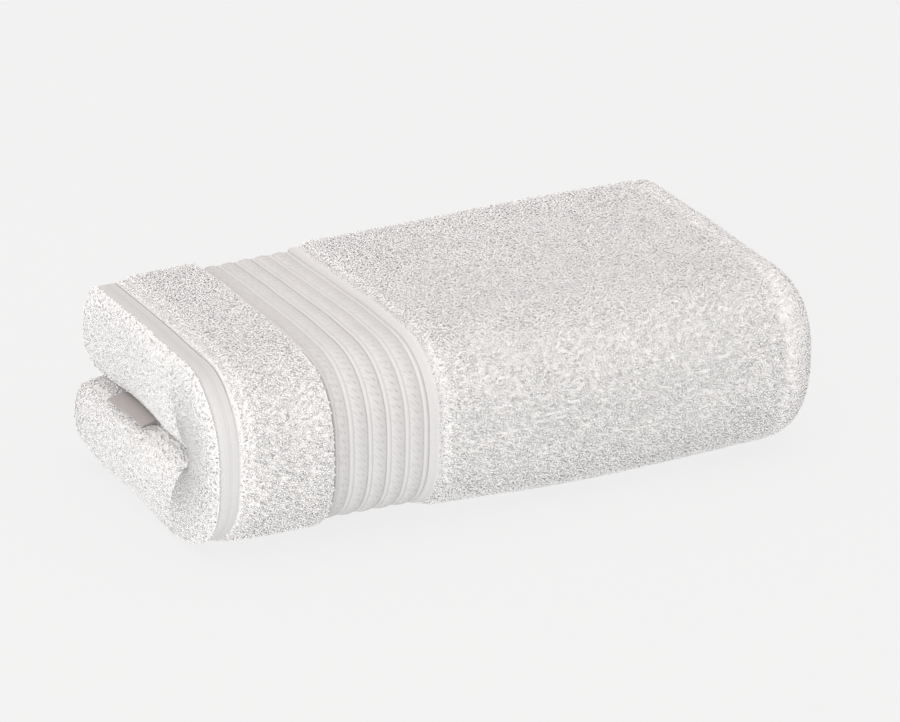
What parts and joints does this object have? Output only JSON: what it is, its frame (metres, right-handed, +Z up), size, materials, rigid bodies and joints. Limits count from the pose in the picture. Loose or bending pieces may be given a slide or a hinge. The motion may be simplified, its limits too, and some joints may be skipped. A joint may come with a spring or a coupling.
{
  "type": "folded bath towel",
  "caption": "White terry bath towel folded into a thick bundle, with a ribbed woven border round its hemmed end and a small label at its crease.",
  "frame": {"origin": "middle of the bundle's bounding box, on the surface it rests on", "axes": "+X along the bundle away from the hemmed end, +Y away from the round front fold, +Z up"},
  "size_m": [0.3934, 0.2088, 0.111],
  "materials": {
    "terry": "matt cotton pile",
    "label": "satin woven ribbon"
  },
  "bodies": {
    "root": {"towel": "terry", "label": "label"}
  },
  "joints": []
}
